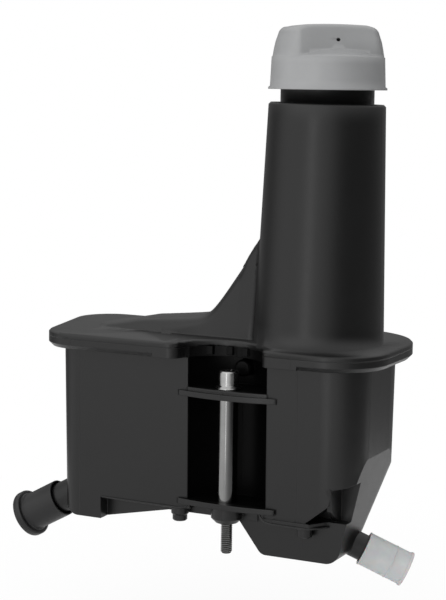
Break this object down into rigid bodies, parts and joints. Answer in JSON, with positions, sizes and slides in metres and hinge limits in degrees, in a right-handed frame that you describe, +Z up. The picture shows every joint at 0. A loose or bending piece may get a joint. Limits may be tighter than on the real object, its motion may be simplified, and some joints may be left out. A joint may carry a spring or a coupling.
{
  "type": "power steering reservoir",
  "caption": "Welded black plastic fluid reservoir with a tall filler neck, screw cap with dipstick, sleeved mounting screw and two capped hose spigots.",
  "frame": {"origin": "on the mounting screw's axis, at the underside of the boss that rests on the bracket", "axes": "+Z up along the mounting screw and the filler neck, +X along the tank towards the neck end, +Y away from the screw channel"},
  "size_m": [0.2233, 0.0971, 0.2846],
  "materials": {
    "tank_black": "satin moulded, fine grain",
    "cap_grey": "satin moulded",
    "insert_plastic": "satin moulded",
    "seal_rubber": "matt",
    "screw_zinc": "bright zinc plated",
    "sleeve_steel": "drawn and polished",
    "plug_black": "soft satin",
    "cap_natural": "natural translucent",
    "strainer_nylon": "matt"
  },
  "bodies": {
    "tank": {"lower_tank": "tank_black", "upper_cover": "tank_black", "spacer_sleeve": "sleeve_steel", "strainer_frame": "strainer_nylon", "strainer_mesh": "strainer_nylon"},
    "seal_carrier": {"cap_seal": "seal_rubber"},
    "cap": {"filler_cap": "cap_grey", "cap_insert": "insert_plastic", "dipstick": "insert_plastic"},
    "screw": {"mounting_screw": "screw_zinc"},
    "suction_plug": {"suction_plug": "plug_black"},
    "return_cap": {"return_cap": "cap_natural"}
  },
  "joints": [
    {"name": "cap_lift", "type": "slide", "parent": "tank", "child": "seal_carrier", "axis": [0, 0, 1], "range_m": [0, 0.0088]},
    {"name": "cap_turn", "type": "hinge", "parent": "seal_carrier", "child": "cap", "pos_m": [0.0383, 0.03, 0.2205], "axis": [0, 0, 1], "range_deg": [0, 630]},
    {"name": "screw_turn", "type": "hinge", "parent": "tank", "child": "screw", "pos_m": [0, 0, 0], "axis": [0, 0, 1], "continuous": true},
    {"name": "suction_plug_pull", "type": "slide", "parent": "tank", "child": "suction_plug", "axis": [-0.8746, 0, -0.4848], "range_m": [0, 0.0215]},
    {"name": "return_cap_pull", "type": "slide", "parent": "tank", "child": "return_cap", "axis": [0.8517, 0.31, -0.4226], "range_m": [0, 0.0205]}
  ],
  "couplings": [
    {"joint": "cap_lift", "follows": "cap_turn", "m_per_rad": 0.00079577}
  ]
}
